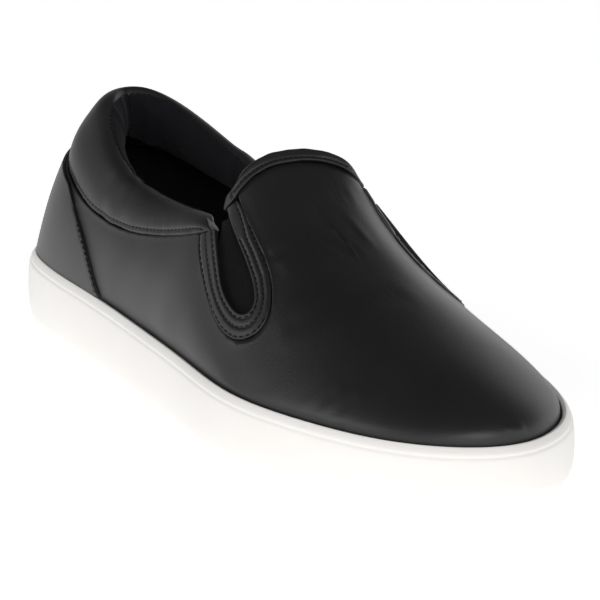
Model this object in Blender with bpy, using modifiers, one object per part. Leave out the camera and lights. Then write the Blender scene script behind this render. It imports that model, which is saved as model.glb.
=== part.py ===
"""Slip-on sneaker, right foot, standing empty and unbent on its sole.

World frame: +X from heel to toe, -Y lateral (outer side), +Y medial, +Z up.
The origin is on the ground under the middle of the shoe's length and width.

The upper, the collar pad, the heel counter, the gore facings, the gores and the binding all
lie on one leather surface.  Eighteen sections run round the shoe, from the heel over the
lateral side to the toe and back over the medial side.  Each section is a smooth line through
four points: the foot of the leather at the rim of the sole, the flank, the crown and the top
line.  A place on the surface is (station, up): the station is the section's number counted
from the heel (0) to the toe (9) on either side, and up runs from the rim (0) to the top (1).
"""
import bpy
import bmesh
import numpy as np

# Overall sizes, metres
LENGTH = 0.298
BALL_WIDTH = 0.110
INSTEP = 0.093

# Cupsole
RIM_HEEL = 0.0295
RIM_ARCH = 0.0287
RIM_BALL = 0.0272
RIM_TOE = 0.0260
RIM_WALL = 0.0046
FLOOR_HEEL = 0.0160
FLOOR_BALL = 0.0110
TOE_SPRING = 0.0050

# Leather, lining and elastic
UPPER_WALL = 0.0020
COUNTER_WALL = 0.0011
FACING_WALL = 0.0013
FACING_PROUD = 0.0003
BINDING_WALL = 0.0026
BINDING_WIDTH = 0.0046
BINDING_PROUD = 0.0004
GORE_WALL = 0.0014
PAD_THICKNESS = 0.0076
PAD_BULGE = 0.0016
PAD_LIFT = 0.0010
INSOLE_WALL = 0.0040

# Clearances: between neighbouring pieces, under an overlay, at a facing's outer edge, below
# the binding, round the insole
GAP = 0.0003
OVERLAY_GAP = 0.0004
SEAM_GAP = 0.0007
BINDING_GAP = 0.0006
INSOLE_PLAY = 0.0008

# Sections, lateral side from the heel to the toe and back on the medial side.
# along is a share of LENGTH from the heel, across a share of half BALL_WIDTH (lateral is
# negative) and height a share of INSTEP.
SECTION_COLUMNS = (
    "foot_along", "foot_across",
    "flank_along", "flank_across", "flank_height",
    "crown_along", "crown_across", "crown_height",
    "top_along", "top_across", "top_height",
)
SECTIONS = (
    (0.000, 0.000, 0.030, 0.000, 0.516, 0.064, 0.000, 0.763, 0.119, 0.000, 1.005),
    (0.035, -0.500, 0.066, -0.390, 0.516, 0.097, -0.315, 0.753, 0.145, -0.200, 0.998),
    (0.130, -0.710, 0.141, -0.605, 0.505, 0.156, -0.509, 0.731, 0.191, -0.355, 0.920),
    (0.260, -0.775, 0.260, -0.687, 0.478, 0.268, -0.613, 0.651, 0.279, -0.490, 0.796),
    (0.420, -0.860, 0.419, -0.764, 0.462, 0.418, -0.664, 0.629, 0.416, -0.500, 0.758),
    (0.560, -0.955, 0.554, -0.847, 0.457, 0.539, -0.709, 0.661, 0.520, -0.518, 0.828),
    (0.690, -1.030, 0.663, -0.849, 0.407, 0.599, -0.627, 0.637, 0.534, -0.400, 0.940),
    (0.820, -0.890, 0.765, -0.712, 0.407, 0.646, -0.486, 0.640, 0.524, -0.255, 0.984),
    (0.930, -0.600, 0.851, -0.461, 0.415, 0.686, -0.296, 0.639, 0.517, -0.127, 0.998),
    (1.000, 0.030, 0.913, 0.026, 0.424, 0.721, 0.013, 0.615, 0.515, 0.000, 1.000),
    (0.957, 0.540, 0.872, 0.418, 0.414, 0.697, 0.274, 0.627, 0.517, 0.127, 0.998),
    (0.876, 0.820, 0.811, 0.656, 0.394, 0.669, 0.458, 0.613, 0.524, 0.255, 0.984),
    (0.760, 0.980, 0.720, 0.808, 0.405, 0.628, 0.606, 0.598, 0.534, 0.400, 0.940),
    (0.620, 0.960, 0.604, 0.809, 0.435, 0.555, 0.695, 0.656, 0.520, 0.518, 0.828),
    (0.450, 0.720, 0.440, 0.664, 0.462, 0.430, 0.627, 0.629, 0.416, 0.500, 0.758),
    (0.270, 0.675, 0.267, 0.615, 0.478, 0.272, 0.582, 0.651, 0.279, 0.490, 0.796),
    (0.130, 0.680, 0.141, 0.582, 0.505, 0.156, 0.500, 0.731, 0.191, 0.355, 0.920),
    (0.035, 0.490, 0.066, 0.380, 0.516, 0.097, 0.310, 0.753, 0.145, 0.200, 0.998),
)
HEEL = 0.0
TOE = 9.0
LEAN_FROM = 2.6

# Rim of the cupsole: share of the length, and which named height it takes there
RIM_ALONG = (0.00, 0.30, 0.68, 1.00)
RIM_HEIGHTS = (RIM_HEEL, RIM_ARCH, RIM_BALL, RIM_TOE)

# Shares of the length: where the cup's floor thins from heel to ball, where the toe spring
# starts, and the share of the toe spring that the cup's floor takes
FLOOR_SLOPE_FROM = 0.30
FLOOR_SLOPE_LONG = 0.35
SPRING_FROM = 0.70
FLOOR_SPRING = 0.80

# Outer side of the cupsole from the ground up: inset from the outline as a share of
# RIM_WALL, height as a share of the way from the ground to the rim, share of the toe spring
SOLE_SIDE = (
    (0.87, 0.00, 1.0),
    (0.55, 0.035, 1.0),
    (0.22, 0.14, 1.0),
    (0.04, 0.34, 0.8),
    (0.02, 0.62, 0.5),
    (0.15, 0.86, 0.2),
    (0.36, 0.94, 0.1),
    (0.70, 1.00, 0.0),
)

# Grid line of the upper that passes under the gore facings, away from them: station, up
UNDER_REAR = (
    (0.00, 0.34),
    (2.00, 0.34),
    (3.20, 0.34),
    (4.30, 0.40),
    (5.00, 0.47),
)
UNDER_FRONT = (
    (7.20, 0.54),
    (8.00, 0.50),
    (9.00, 0.48),
)
# End of the collar pad beside the gore: up, station
PAD_END = (
    (0.60, 5.15),
    (0.84, 5.15),
    (0.88, 5.04),
    (0.94, 4.90),
    (1.00, 4.74),
)
# Corner where the top line of the vamp meets the gore
THROAT_CORNER = 5.37
# The medial gore leans back: by how many stations at most, and where the lean ends
MEDIAL_LEAN = 0.55
LEAN_END = 8.20
# Seam under the padded collar: station, up
COLLAR_SEAM = (
    (0.00, 0.665),
    (1.00, 0.655),
    (2.00, 0.625),
    (2.80, 0.600),
    (3.40, 0.630),
    (3.85, 0.692),
    (4.35, 0.758),
    (4.70, 0.800),
    (5.19, 0.840),
)
# Front edge of the heel counter: up, station
COUNTER_EDGE = (
    (0.00, 3.22),
    (0.10, 3.16),
    (0.32, 3.01),
    (0.54, 2.63),
    (0.64, 2.24),
)
# Facing round the gore, from the collar down, round its foot and up to the binding: station
# and up of its inner edge, which is the edge of the opening, then of its outer edge
FACING = (
    (5.195, 0.838, 4.87, 0.800),
    (5.33, 0.755, 4.98, 0.700),
    (5.42, 0.705, 5.09, 0.635),
    (5.51, 0.650, 5.22, 0.575),
    (5.59, 0.600, 5.36, 0.515),
    (5.72, 0.555, 5.52, 0.450),
    (5.88, 0.527, 5.74, 0.405),
    (6.02, 0.517, 5.98, 0.405),
    (6.16, 0.525, 6.22, 0.440),
    (6.30, 0.550, 6.45, 0.490),
    (6.42, 0.600, 6.66, 0.560),
    (6.40, 0.660, 6.77, 0.630),
    (6.20, 0.740, 6.80, 0.700),
    (5.98, 0.793, 6.62, 0.775),
    (5.78, 0.840, 6.34, 0.840),
    (5.60, 0.895, 6.06, 0.900),
    (5.53, 0.925, 5.90, 0.925),
)
FOOT_OF_FACING = (4, 10)
# Elastic behind the opening: up, rear station, front station
GORE = (
    (0.440, 5.76, 6.18),
    (0.480, 5.56, 6.38),
    (0.540, 5.44, 6.56),
    (0.620, 5.34, 6.66),
    (0.700, 5.27, 6.56),
    (0.770, 5.26, 6.36),
    (0.830, 5.27, 6.06),
    (0.900, 5.16, 5.80),
)
# Section of the collar pad, outer side upwards: share of the way up from the seam to the
# top line, depth inward as a share of PAD_BULGE (outward is negative)
PAD_OUTER = (
    (0.00, 0.20),
    (0.16, -0.62),
    (0.42, -1.00),
    (0.72, -0.70),
    (1.00, 0.00),
)
# and its inner side downwards: inward from the top line as a share of PAD_THICKNESS,
# down from the top line as a share of the pad's height
PAD_INNER = (
    (0.38, -0.03),
    (0.76, 0.07),
    (0.97, 0.30),
    (0.96, 0.65),
)
# and its foot, outward: share of the way up, depth inward as a share of PAD_THICKNESS
PAD_FOOT = (
    (0.04, 0.70),
    (0.02, 0.30),
)
PAD_END_THICKNESS = 0.36

# Finishes: colour, roughness, share of clear coat
FINISHES = {
    "Sole rubber": ((0.80, 0.77, 0.74), 0.55, 0.0),
    "Smooth leather": ((0.020, 0.020, 0.022), 0.42, 0.2),
    "Counter leather": ((0.021, 0.021, 0.023), 0.42, 0.2),
    "Collar leather": ((0.022, 0.022, 0.024), 0.45, 0.15),
    "Facing leather": ((0.020, 0.020, 0.022), 0.45, 0.0),
    "Facing leather inner": ((0.020, 0.020, 0.022), 0.45, 0.0),
    "Gore elastic": ((0.006, 0.006, 0.007), 0.85, 0.0),
    "Gore elastic inner": ((0.006, 0.006, 0.007), 0.85, 0.0),
    "Binding leather": ((0.021, 0.021, 0.023), 0.40, 0.0),
    "Footbed": ((0.015, 0.014, 0.017), 0.80, 0.0),
}

# How many strips each region of the surface is cut into
QUARTER_STEPS = 26
GORE_STEPS = 8
VAMP_STEPS = 18
LOWER_ROWS = 5
UPPER_ROWS = 6
SOLE_STEPS = 46
FACING_ROWS = 3
PAD_STEPS = 46
PAD_SIDES = 16
FILL_STEPS = 4


def closed_spline(values, at, knots):
    """Smooth closed curve through values; knots has one more entry, the period."""
    values = np.asarray(values, float)
    count = len(values)
    step = np.diff(knots)
    matrix = np.zeros((count, count))
    right = np.zeros_like(values)
    for i in range(count):
        before, after, nxt = step[i - 1], step[i], (i + 1) % count
        matrix[i, i - 1] += before
        matrix[i, i] += 2.0 * (before + after)
        matrix[i, nxt] += after
        slope_after = (values[nxt] - values[i]) / after
        slope_before = (values[i] - values[i - 1]) / before
        right[i] = 6.0 * (slope_after - slope_before)
    bend = np.linalg.solve(matrix, right)
    at = np.mod(np.asarray(at, float), knots[-1])
    i = np.clip(np.searchsorted(knots, at, side="right") - 1, 0, count - 1)
    j = (i + 1) % count
    h = step[i][:, None]
    t = (at - knots[i])[:, None]
    curve = (bend[i] * (h - t) ** 3 + bend[j] * t ** 3) / (6.0 * h)
    curve += (values[i] / h - bend[i] * h / 6.0) * (h - t)
    curve += (values[j] / h - bend[j] * h / 6.0) * t
    return curve


def through(table, at, column=1):
    """Smooth line through a table's rows, read by its first column."""
    x = np.array([row[0] for row in table], float)
    y = np.array([row[column] for row in table], float)
    at = np.clip(np.asarray(at, float), x[0], x[-1])
    slope = np.gradient(y, x)
    i = np.clip(np.searchsorted(x, at, side="right") - 1, 0, len(x) - 2)
    h = x[i + 1] - x[i]
    t = (at - x[i]) / h
    left = (1 + 2 * t) * (1 - t) ** 2 * y[i] + t * (1 - t) ** 2 * h * slope[i]
    right = t * t * (3 - 2 * t) * y[i + 1] + t * t * (t - 1) * h * slope[i + 1]
    return left + right


def ease(t):
    """0 to 1 with level ends."""
    t = np.clip(t, 0.0, 1.0)
    return t * t * (3.0 - 2.0 * t)


# The facing's outer edge, and the edge that the upper keeps round it: its rear side and its
# front side as (up, station), and its foot as (station, up)
BREAK = SEAM_GAP / (LENGTH / (2 * TOE))
RISE = SEAM_GAP / INSTEP
REAR_EDGE = [(up, station - BREAK) for _, _, station, up in FACING[FOOT_OF_FACING[0]::-1]]
FRONT_EDGE = [(up, station + BREAK) for _, _, station, up in FACING[FOOT_OF_FACING[1]:]]
FOOT_EDGE = [(REAR_EDGE[0][1], REAR_EDGE[0][0])]
FOOT_EDGE += [(row[2], row[3] - RISE) for row in FACING[FOOT_OF_FACING[0] + 1:FOOT_OF_FACING[1]]]
FOOT_EDGE += [(FRONT_EDGE[0][1], FRONT_EDGE[0][0])]
UNDER_GORE = list(UNDER_REAR) + FOOT_EDGE + list(UNDER_FRONT)

TABLE = dict(zip(SECTION_COLUMNS, np.array(SECTIONS).T))


def from_shares(name):
    """The points that one part of every section gives, in metres."""
    x = (TABLE[name + "_along"] - 0.5) * LENGTH
    y = TABLE[name + "_across"] * BALL_WIDTH / 2
    if name == "foot":
        return np.c_[x, y]
    return np.c_[x, y, TABLE[name + "_height"] * INSTEP]


OUTLINE = from_shares("foot")
ROUND = np.vstack([OUTLINE, OUTLINE[:1]])
KNOTS = np.r_[0.0, np.cumsum(np.linalg.norm(np.diff(ROUND, axis=0), axis=1))]


def middle_of_width():
    """Half way between the outline's outermost points on the two sides."""
    across = closed_spline(OUTLINE, np.linspace(0.0, KNOTS[-1], 721), KNOTS)[:, 1]
    return (across.min() + across.max()) / 2


MIDDLE = middle_of_width()
OUTLINE[:, 1] -= MIDDLE
RAILS = {name: from_shares(name) - (0.0, MIDDLE, 0.0) for name in ("flank", "crown", "top")}


def way_round(station):
    """Distance round the outline at a station; the medial side counts on from 9 to 18."""
    return np.interp(station, np.arange(len(KNOTS)), KNOTS)


def other_side(station):
    """The matching station on the medial side, where the gore leans further back."""
    station = np.asarray(station, float)
    forward = np.clip((station - THROAT_CORNER) / (LEAN_END - THROAT_CORNER), 0.0, 1.0)
    return 2 * TOE - station + MEDIAL_LEAN * np.sin(np.pi * forward) ** 2


def outline(way, inset):
    """Outline of the sole, moved inward by inset."""
    way = np.asarray(way, float)
    step = LENGTH / 3000
    point = closed_spline(OUTLINE, way, KNOTS)
    run = closed_spline(OUTLINE, way + step, KNOTS) - closed_spline(OUTLINE, way - step, KNOTS)
    run /= np.linalg.norm(run, axis=1)[:, None]
    return point + np.c_[-run[:, 1], run[:, 0]] * inset


def share_along(x):
    return x / LENGTH + 0.5


def rim_height(x):
    return np.interp(share_along(x), RIM_ALONG, RIM_HEIGHTS)


def floor_height(x):
    """Floor of the cup, thicker under the heel."""
    forward = ease((share_along(x) - FLOOR_SLOPE_FROM) / FLOOR_SLOPE_LONG)
    lift = spring(x) * FLOOR_SPRING
    return FLOOR_HEEL + (FLOOR_BALL - FLOOR_HEEL) * forward + lift


def spring(x):
    """Lift of the sole towards the toe."""
    forward = np.clip((share_along(x) - SPRING_FROM) / (1.0 - SPRING_FROM), 0.0, 1.0)
    return TOE_SPRING * forward**2


def leather(way, up):
    """Outer face of the leather."""
    way = np.asarray(way, float)
    foot = outline(way, RIM_WALL + GAP)
    foot = np.c_[foot, rim_height(foot[:, 0])]
    flank = closed_spline(RAILS["flank"], way, KNOTS)
    crown = closed_spline(RAILS["crown"], way, KNOTS)
    top = closed_spline(RAILS["top"], way, KNOTS)
    v = np.asarray(up, float)[:, None]
    a, b = v - 1.0 / 3.0, v - 2.0 / 3.0
    line = -4.5 * a * b * (v - 1.0) * foot + 13.5 * v * b * (v - 1.0) * flank
    return line - 13.5 * v * a * (v - 1.0) * crown + 4.5 * v * a * b * top


def skin(station, up, depth=0.0):
    """Points on the leather's outer face, moved inward by depth."""
    station = np.asarray(station, float)
    up = np.broadcast_to(np.asarray(up, float), station.shape)
    way = way_round(station)
    dw, dv = LENGTH / 1500, 0.004
    along = leather(way + dw, up) - leather(way - dw, up)
    lift = leather(way, np.minimum(up + dv, 1.0)) - leather(way, np.maximum(up - dv, 0.0))
    inward = np.cross(lift, along)
    inward /= np.linalg.norm(inward, axis=1)[:, None]
    return leather(way, up) + inward * np.broadcast_to(np.asarray(depth, float), station.shape)[:, None]


def up_for(station, distance):
    """How far up to go below the top line to be at a distance from it."""
    station = np.asarray(station, float)
    way = way_round(station)
    one = np.ones_like(way)
    size = np.linalg.norm(leather(way, one) - leather(way, one - 0.01), axis=1) / 0.01
    return 1.0 - distance / size


def beside(station, up, side):
    """Leans a grid column of the quarter or the vamp to follow the facing's edge."""
    station = np.asarray(station, float)
    if side == "rear":
        lean = through(REAR_EDGE, up) - REAR_EDGE[0][1]
        return station + lean * ease((station - LEAN_FROM) / (REAR_EDGE[0][1] - LEAN_FROM))
    lean = through(FRONT_EDGE, up) - FRONT_EDGE[0][1]
    return station + lean * ease((TOE - station) / (TOE - FRONT_EDGE[0][1]))


def along_pad(station, up):
    """Leans a section of the collar pad to follow its end."""
    lean = through(PAD_END, up) - PAD_END[0][1]
    return station + lean * ease((station - LEAN_FROM) / (PAD_END[0][1] - LEAN_FROM))


def make_object(name, points, faces, material, collection):
    """One mesh object from points and faces, welded and with its faces turned outward."""
    mesh = bpy.data.meshes.new(name)
    bm = bmesh.new()
    corners = [bm.verts.new(p) for p in points]
    for face in faces:
        ring = []
        for k in face:
            if corners[k] not in ring:
                ring.append(corners[k])
        if len(ring) > 2:
            bm.faces.new(ring)
    loose = [v for v in bm.verts if not v.link_faces]
    bmesh.ops.delete(bm, geom=loose, context="VERTS")
    bmesh.ops.recalc_face_normals(bm, faces=bm.faces)
    bm.to_mesh(mesh)
    bm.free()
    mesh.shade_smooth()
    mesh.materials.append(material)
    obj = bpy.data.objects.new(name, mesh)
    collection.objects.link(obj)
    return obj


def turn_sheet_outward(obj):
    """An open sheet's faces look away from the inside of the shoe."""
    mesh = obj.data
    inside = np.array((0.0, 0.0, INSTEP * 0.45))
    total = 0.0
    for face in mesh.polygons:
        away = np.array(face.center) - inside
        total += face.area * float(np.dot(np.array(face.normal) * (1, 1, 0), away * (1, 1, 0)))
    if total < 0.0:
        mesh.flip_normals()


def thicken(obj, thickness, outward):
    """Gives an open sheet its wall, outward or inward from the sheet."""
    turn_sheet_outward(obj)
    wall = obj.modifiers.new("Wall", "SOLIDIFY")
    wall.thickness = thickness
    wall.offset = 1.0 if outward else -1.0
    wall.use_even_offset = True
    wall.use_quality_normals = True
    return obj


def grid_faces(rows, columns, closed=False):
    """Quads of a grid whose points are listed row by row."""
    faces = []
    for r in range(rows - 1):
        for c in range(columns if closed else columns - 1):
            d = (c + 1) % columns
            faces.append((r * columns + c, r * columns + d, (r + 1) * columns + d, (r + 1) * columns + c))
    return faces


def sheet_stations():
    """Stations of the upper's grid columns from the heel to the toe on one side."""
    rear, front = REAR_EDGE[0][1], FRONT_EDGE[0][1]
    quarter = np.linspace(HEEL, rear, QUARTER_STEPS + 1)
    under = np.linspace(rear, front, GORE_STEPS + 1)
    vamp = np.linspace(front, TOE, VAMP_STEPS + 1)
    return quarter, under[1:-1], vamp


def seam_up(station):
    return through(COLLAR_SEAM, station)


def quarter_top(station):
    """Top edge of the quarter, just under the collar pad, where a column meets it."""
    up = seam_up(station)
    for _ in range(4):
        up = seam_up(beside(station, up, "rear"))
    return up - seam_gap()


def seam_gap():
    """Half the clearance at the collar seam, as a share of a section's height."""
    return GAP / INSTEP


def vamp_top(station):
    """Top edge of the vamp under the throat binding, where a column meets it."""
    up = np.full_like(station, 0.95)
    for _ in range(12):
        up = 0.5 * up + 0.5 * up_for(beside(station, up, "front"), BINDING_WIDTH + BINDING_GAP)
    return up


def build_upper(material, collection):
    """Vamp and quarters in one hollow shell with an opening for each gore."""
    quarter, under, vamp = sheet_stations()
    half = [(q, "rear") for q in quarter] + [(q, "under") for q in under] + [(q, "front") for q in vamp]
    back = [(q, kind) for q, kind in reversed(half[1:-1])]
    columns = [(q, kind, False) for q, kind in half] + [(q, kind, True) for q, kind in back]
    points = []
    index = {}

    def put(column, row, point):
        index[column, row] = len(points)
        points.append(point)

    for c, (q, kind, medial) in enumerate(columns):
        place = other_side if medial else (lambda station: station)
        foot = outline(way_round(np.array([place(q)])), RIM_WALL + GAP)[0]
        put(c, 0, (foot[0], foot[1], floor_height(foot[0]) + GAP))
        middle = through(UNDER_GORE, q)
        for r in range(LOWER_ROWS + 1):
            up = middle * r / LOWER_ROWS
            put(c, 1 + r, skin(np.array([place(q)]), up)[0])
        if kind == "under":
            continue
        station = np.array([q])
        top = (quarter_top(station) if kind == "rear" else vamp_top(station))[0]
        for r in range(1, UPPER_ROWS + 1):
            up = middle + (top - middle) * r / UPPER_ROWS
            put(c, 1 + LOWER_ROWS + r, skin(np.array([place(beside(q, up, kind))]), up)[0])
    faces = []
    last_row = 1 + LOWER_ROWS + UPPER_ROWS
    for c in range(len(columns)):
        d = (c + 1) % len(columns)
        for r in range(last_row):
            keys = [(c, r), (d, r), (d, r + 1), (c, r + 1)]
            gore = r > LOWER_ROWS and "rear" in (columns[c][1], columns[d][1]) \
                and "front" in (columns[c][1], columns[d][1])
            if all(key in index for key in keys) and not gore:
                faces.append([index[key] for key in keys])
    return thicken(make_object("upper", points, faces, material, collection), UPPER_WALL, False)


def ribbon(name, stations, ups, depth, thickness, outward, material, collection):
    """A sheet on the leather from two tables of places, with its wall."""
    rows, columns = stations.shape
    points = skin(stations.ravel(), ups.ravel(), depth)
    obj = make_object(name, points, grid_faces(rows, columns), material, collection)
    return thicken(obj, thickness, outward)


def column_ups(edge, top):
    """Heights of the upper's grid points up one side of a gore."""
    return edge[0][0] + (top - edge[0][0]) * np.arange(UPPER_ROWS + 1) / UPPER_ROWS


def facing_edge():
    """A facing's outer edge, point for point beside the upper's edge.

    Returns the row number in FACING, the station and the height of every point.
    """
    table = np.array(FACING)
    rows = np.arange(len(FACING), dtype=float)
    first, last = FOOT_OF_FACING
    rear_top = quarter_top(np.array([REAR_EDGE[0][1]]))[0]
    front_top = vamp_top(np.array([FRONT_EDGE[0][1]]))[0]
    rear = column_ups(REAR_EDGE, rear_top)[::-1]
    rear[0] = FACING[0][3]
    front = column_ups(FRONT_EDGE, front_top)
    front[-1] = FACING[-1][3]
    foot = sheet_stations()[1]
    order = np.r_[
        np.interp(rear, table[first::-1, 3], rows[first::-1]),
        np.interp(foot, table[first:last + 1, 2], rows[first:last + 1]),
        np.interp(front, table[last:, 3], rows[last:]),
    ]
    station = np.r_[through(REAR_EDGE, rear) + BREAK, foot, through(FRONT_EDGE, front) - BREAK]
    up = np.r_[rear, through(UNDER_GORE, foot) + RISE, front]
    return order, station, up


def build_facing(name, medial, material, collection):
    """Band round the gore's opening, let into the upper."""
    order, outer_station, outer_up = facing_edge()
    count = np.arange(len(FACING))
    inner_station = through([(k, FACING[k][0]) for k in count], order)
    inner_up = through([(k, FACING[k][1]) for k in count], order)
    share = np.linspace(0.0, 1.0, FACING_ROWS + 1)[:, None]
    stations = inner_station + (outer_station - inner_station) * share
    ups = inner_up + (outer_up - inner_up) * share
    if medial:
        stations = other_side(stations)
    return ribbon(name, stations, ups, -FACING_PROUD, FACING_WALL, False, material, collection)


def build_gore(name, medial, material, collection):
    """Elastic panel behind the opening."""
    ups = np.linspace(GORE[0][0], GORE[-1][0], 10)
    rear, front = through(GORE, ups, 1), through(GORE, ups, 2)
    share = np.linspace(0.0, 1.0, 7)
    stations = rear[:, None] + (front - rear)[:, None] * share
    if medial:
        stations = other_side(stations)
    heights = np.repeat(ups[:, None], len(share), axis=1)
    return ribbon(name, stations, heights, UPPER_WALL + GAP, GORE_WALL, False, material, collection)


def build_counter(material, collection):
    """Heel counter laid over the back of the upper, from the sole's rim to the collar."""
    edge = COUNTER_EDGE[-1][1]
    quarter = sheet_stations()[0]
    quarter = quarter[quarter < edge - 0.05]
    flap = np.linspace(0.0, 1.0, 6)[1:]
    foot_up = 2.0 * GAP / INSTEP
    stations, ups = [], []
    for t in np.linspace(0.0, 1.0, 8):
        reach = through(COUNTER_EDGE, t * COUNTER_EDGE[-1][0])
        side = np.r_[quarter, quarter[-1] + (reach - quarter[-1]) * flap]
        place = np.r_[-side[:0:-1], side]
        top = seam_up(np.abs(place)) - 2.0 * seam_gap()
        stations.append(np.where(place < 0, 2 * TOE + place, place))
        ups.append(foot_up + (top - foot_up) * t)
    return ribbon("heel_counter", np.array(stations), np.array(ups), -OVERLAY_GAP, COUNTER_WALL, True,
                  material, collection)


def build_binding(material, collection):
    """Folded strip along the top edge of the vamp."""
    vamp = sheet_stations()[2]
    side = beside(vamp, vamp_top(vamp), "front")
    side = np.r_[np.linspace(THROAT_CORNER, side[0], 4)[:-1], side]
    stations = np.r_[side, other_side(side[-2::-1])]
    share = np.linspace(0.0, 1.0, 3)
    ups = [up_for(stations, BINDING_WIDTH * (1.0 - t)) for t in share]
    return ribbon("throat_binding", np.repeat(stations[None, :], len(share), axis=0), np.array(ups),
                  -BINDING_PROUD, BINDING_WALL + BINDING_PROUD, False, material, collection)


def plan_inward(station):
    """Level direction from the top line towards the inside of the opening."""
    way = way_round(np.asarray(station, float))
    step, one = LENGTH / 1500, np.ones_like(way)
    run = leather(way + step, one) - leather(way - step, one)
    inward = np.c_[-run[:, 1], run[:, 0], np.zeros(len(way))]
    return inward / np.linalg.norm(inward, axis=1)[:, None]


def build_pad(material, collection):
    """Padded collar round the heel, from one gore to the other."""
    rear = PAD_END[0][1]
    even = np.linspace(-1.0, 1.0, PAD_STEPS + 1)
    share = 0.5 * np.sin(even * np.pi / 2) + 0.5 * even
    sections = []
    for t in share:
        q = abs(t) * rear
        place = (lambda s: 2 * TOE - s) if t < 0 else (lambda s: s)
        low = seam_up(q) + PAD_LIFT / INSTEP
        slim = 1.0 - (1.0 - PAD_END_THICKNESS) * ease((abs(t) - 0.75) / 0.25)
        ring = []
        for climb, bulge in PAD_OUTER:
            up = low + (1.0 - low) * climb
            at = place(along_pad(q, up))
            ring.append(skin(np.array([at]), up, PAD_BULGE * bulge)[0])
        top_place = np.array([place(along_pad(q, 1.0))])
        top, foot = ring[-1], ring[0]
        inward = plan_inward(top_place)[0]
        height = top[2] - foot[2]
        for into, down in PAD_INNER:
            ring.append(top + inward * PAD_THICKNESS * slim * into - np.array((0, 0, height * down)))
        for lift, into in PAD_FOOT:
            up = low + (1.0 - low) * lift
            base = place(along_pad(q, up))
            ring.append(skin(np.array([base]), up, PAD_THICKNESS * slim * into)[0])
        sections.append(np.array(ring))
    count = PAD_SIDES
    rounded = []
    for ring in sections:
        run = np.linalg.norm(np.diff(np.vstack([ring, ring[:1]]), axis=0), axis=1)
        knots = np.r_[0.0, np.cumsum(run)]
        rounded.append(closed_spline(ring, np.linspace(0.0, knots[-1], count, endpoint=False), knots))
    points = list(np.vstack(rounded))
    faces = grid_faces(len(rounded), count, closed=True)
    for row, ring in ((0, rounded[0]), (len(rounded) - 1, rounded[-1])):
        middle = len(points)
        points.append(ring.mean(axis=0))
        for k in range(count):
            faces.append((row * count + k, row * count + (k + 1) % count, middle))
    return make_object("padded_collar", points, faces, material, collection)


def sole_stations():
    half = np.linspace(HEEL, TOE, SOLE_STEPS + 1)
    return np.r_[half, other_side(half[-2:0:-1])]


def ladder(points, first, count, height):
    """Fills a closed row of points, side to side; returns the faces and adds the points."""
    faces = []
    half = count // 2
    rungs = {0: [first] * (FILL_STEPS + 1), half: [first + half] * (FILL_STEPS + 1)}
    for k in range(1, half):
        left, right = first + k, first + count - k
        rung = [left]
        for step in range(1, FILL_STEPS):
            t = step / FILL_STEPS
            x = points[left][0] * (1 - t) + points[right][0] * t
            y = points[left][1] * (1 - t) + points[right][1] * t
            rung.append(len(points))
            points.append((x, y, height(x)))
        rungs[k] = rung + [right]
    for k in range(half):
        for step in range(FILL_STEPS):
            faces.append((rungs[k][step], rungs[k][step + 1], rungs[k + 1][step + 1], rungs[k + 1][step]))
    return faces


def build_cupsole(material, collection):
    """Rubber sole moulded as one cup: flat under heel and forefoot, sprung at the toe."""
    way = way_round(sole_stations())
    count = len(way)
    points = []
    rings = 0
    for inset, climb, lifted in SOLE_SIDE:
        ring = outline(way, RIM_WALL * inset)
        x = ring[:, 0]
        z = rim_height(x) * climb + spring(x) * lifted * (1.0 - climb)
        points += list(np.c_[ring, z])
        rings += 1
    inner = outline(way, RIM_WALL)
    rim = rim_height(inner[:, 0])
    floor = floor_height(inner[:, 0])
    for share in (0.96, 0.45, 0.0):
        points += list(np.c_[inner, floor + (rim - floor) * share])
        rings += 1
    faces = grid_faces(rings, count, closed=True)
    faces += ladder(points, 0, count, spring)
    faces += ladder(points, (rings - 1) * count, count, floor_height)
    return make_object("cupsole", points, faces, material, collection)


def build_insole(material, collection):
    """Footbed on the floor of the cup, inside the leather."""
    way = way_round(sole_stations()[::2])
    ring = outline(way, RIM_WALL + GAP + UPPER_WALL + INSOLE_PLAY)
    points = list(np.c_[ring, floor_height(ring[:, 0]) + GAP])
    faces = ladder(points, 0, len(way), lambda x: floor_height(x) + GAP)
    sheet = make_object("insole", points, faces, material, collection)
    if sum(face.normal.z * face.area for face in sheet.data.polygons) < 0:
        sheet.data.flip_normals()
    wall = sheet.modifiers.new("Wall", "SOLIDIFY")
    wall.thickness = INSOLE_WALL
    wall.offset = 1.0
    return sheet


def principled(name):
    """A plain material in one colour, from the table of finishes."""
    colour, roughness, coat = FINISHES[name]
    material = bpy.data.materials.new(name)
    material.use_nodes = True
    shader = material.node_tree.nodes["Principled BSDF"]
    shader.inputs["Base Color"].default_value = (*colour, 1.0)
    shader.inputs["Roughness"].default_value = roughness
    shader.inputs["Metallic"].default_value = 0.0
    shader.inputs["Coat Weight"].default_value = coat
    return material


def main():
    for obj in list(bpy.data.objects):
        bpy.data.objects.remove(obj, do_unlink=True)
    shoe = bpy.data.collections.new("slip_on_sneaker")
    bpy.context.scene.collection.children.link(shoe)
    build_cupsole(principled("Sole rubber"), shoe)
    build_upper(principled("Smooth leather"), shoe)
    build_counter(principled("Counter leather"), shoe)
    build_pad(principled("Collar leather"), shoe)
    build_facing("gore_facing_lateral", False, principled("Facing leather"), shoe)
    build_facing("gore_facing_medial", True, principled("Facing leather inner"), shoe)
    build_gore("gore_lateral", False, principled("Gore elastic"), shoe)
    build_gore("gore_medial", True, principled("Gore elastic inner"), shoe)
    build_binding(principled("Binding leather"), shoe)
    build_insole(principled("Footbed"), shoe)


main()
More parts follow.
